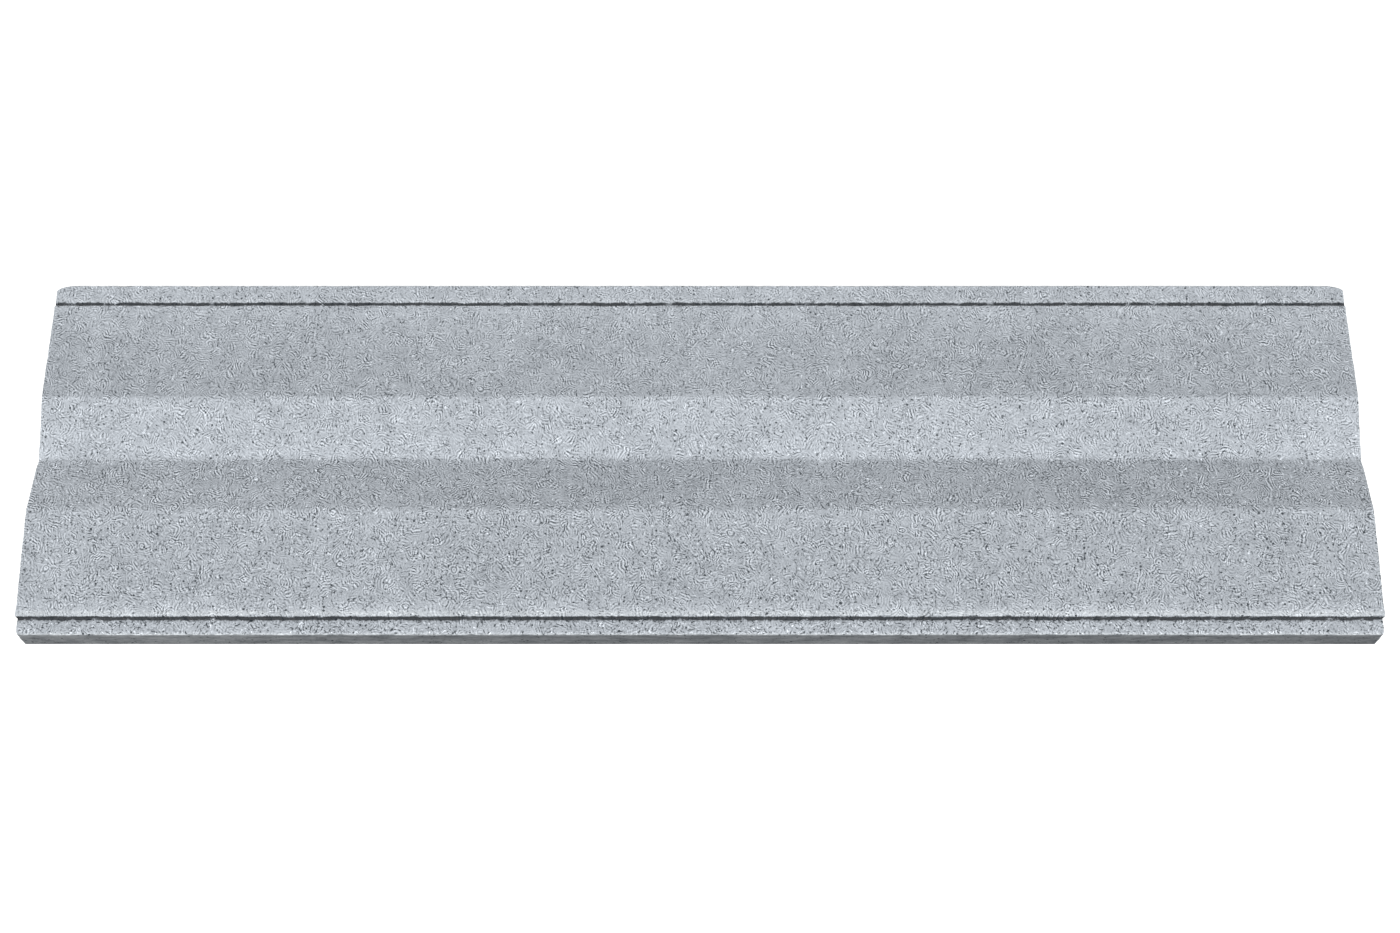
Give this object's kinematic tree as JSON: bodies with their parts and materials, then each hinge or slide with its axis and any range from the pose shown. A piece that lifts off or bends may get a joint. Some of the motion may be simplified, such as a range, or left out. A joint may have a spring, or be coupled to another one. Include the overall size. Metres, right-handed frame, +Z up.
{
  "type": "concrete wall coping",
  "caption": "Long flat concrete coping slab with ridged, channelled weathered top, stepped ledges along both edges and drip throats below; caps a masonry wall.",
  "frame": {"origin": "centre of the bed, the flat underside that lies on the wall", "axes": "+X along the wall, -Y towards the front edge with the taller step, +Z up"},
  "size_m": [1, 0.285, 0.0339],
  "materials": {
    "concrete": "matte"
  },
  "bodies": {
    "root": {"coping": "concrete"}
  },
  "joints": []
}
